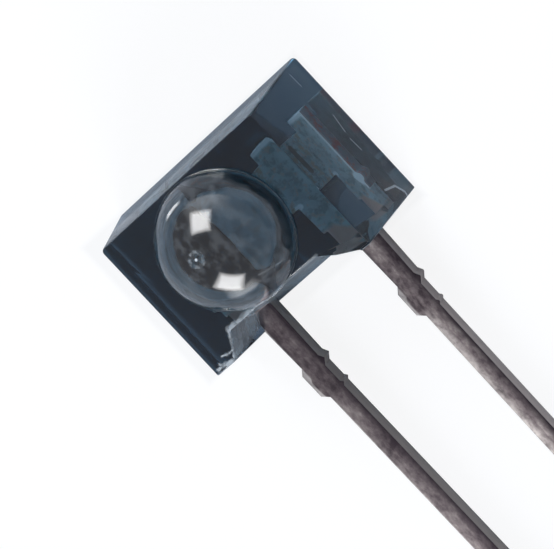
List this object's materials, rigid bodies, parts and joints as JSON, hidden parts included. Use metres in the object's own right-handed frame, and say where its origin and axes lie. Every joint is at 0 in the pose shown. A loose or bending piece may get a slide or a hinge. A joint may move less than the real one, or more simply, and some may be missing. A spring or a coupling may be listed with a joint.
{
  "type": "side-looking infrared emitter",
  "caption": "Side-looking infrared emitter: smoke-blue clear resin block with a round lens on its broad face and flat stamped leads with cut tie bar stubs.",
  "frame": {"origin": "centre line of the lens where it meets the flat back of the block", "axes": "+Z out of the lens, +Y away from the leads, +X to the right seen from the lens side with the leads down"},
  "size_m": [0.0048, 0.0185, 0.0039],
  "materials": {
    "resin": "gloss",
    "lead_metal": "satin",
    "paste": "matte",
    "chip": "satin",
    "wire": "gloss"
  },
  "bodies": {
    "root": {"package": "resin", "chip_lead": "lead_metal", "wire_lead": "lead_metal", "die_attach": "paste", "emitter_chip": "chip", "bond_wire": "wire"}
  },
  "joints": []
}
